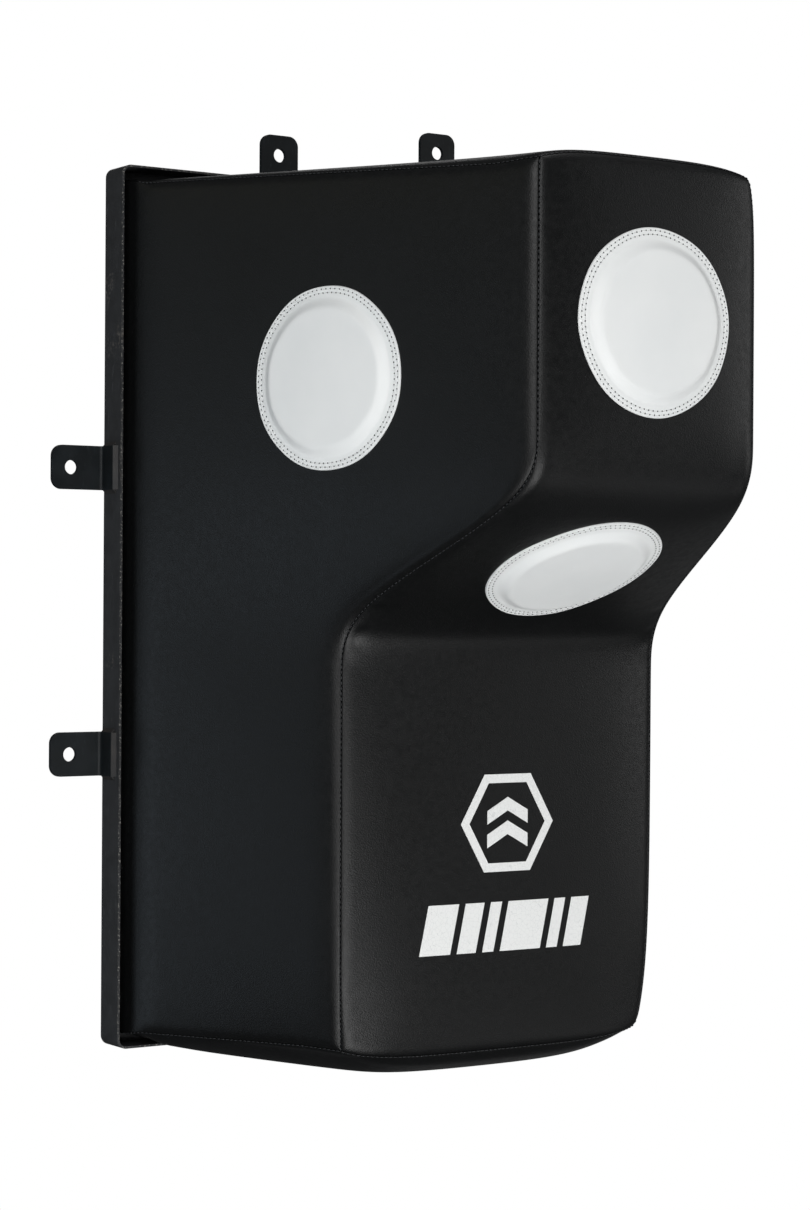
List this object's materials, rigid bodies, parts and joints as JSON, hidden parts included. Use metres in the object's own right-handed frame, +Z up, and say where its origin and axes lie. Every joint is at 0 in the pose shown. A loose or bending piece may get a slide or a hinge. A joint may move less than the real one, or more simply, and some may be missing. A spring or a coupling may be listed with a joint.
{
  "type": "wall-mounted wing pad",
  "caption": "Wall-mounted padded striking pad with a deep head, a sloped underside for rising blows and round white targets, held in a steel tray with bolting lugs.",
  "frame": {"origin": "centre of the steel tray's rear face, on the wall plane", "axes": "+Y into the wall, so the pad stands out towards -Y; +X to the right for someone facing the pad; +Z up"},
  "size_m": [0.652, 0.4665, 0.866],
  "materials": {
    "black_steel": "satin black paint, worn at the edges",
    "lug_steel": "dark blue-grey paint",
    "weld_steel": "painted weld bead",
    "plywood": "sanded birch plywood",
    "softwood": "sawn softwood",
    "zinc_screws": "zinc plated",
    "staple_wire": "galvanised wire",
    "foam": "closed-cell foam",
    "black_leather": "coated fabric with a fine leather grain",
    "white_leather": "white coated fabric, sewn rim",
    "stitching": "bonded polyester thread",
    "white_print": "heat-pressed vinyl"
  },
  "bodies": {
    "root": {"steel_tray": "black_steel", "left_upper_lug": "lug_steel", "left_lower_lug": "lug_steel", "right_upper_lug": "lug_steel", "right_lower_lug": "lug_steel", "top_left_lug": "lug_steel", "top_right_lug": "lug_steel", "lug_welds": "weld_steel", "back_board": "plywood", "left_side_board": "plywood", "right_side_board": "plywood", "centre_rib": "plywood", "top_board": "plywood", "bottom_board": "plywood", "head_board": "plywood", "slope_board": "plywood", "body_board": "plywood", "left_batten": "softwood", "right_batten": "softwood", "tray_screws": "zinc_screws", "core_screws": "zinc_screws", "cover_staples": "staple_wire", "top_foam": "foam", "bottom_foam": "foam", "left_foam": "foam", "right_foam": "foam", "head_foam": "foam", "slope_foam": "foam", "body_foam": "foam", "top_cover": "black_leather", "bottom_cover": "black_leather", "left_cover": "black_leather", "right_cover": "black_leather", "front_cover": "black_leather", "front_target_pad": "foam", "front_target_cover": "white_leather", "left_target_pad": "foam", "left_target_cover": "white_leather", "right_target_pad": "foam", "right_target_cover": "white_leather", "under_target_pad": "foam", "under_target_cover": "white_leather"}
  },
  "joints": []
}
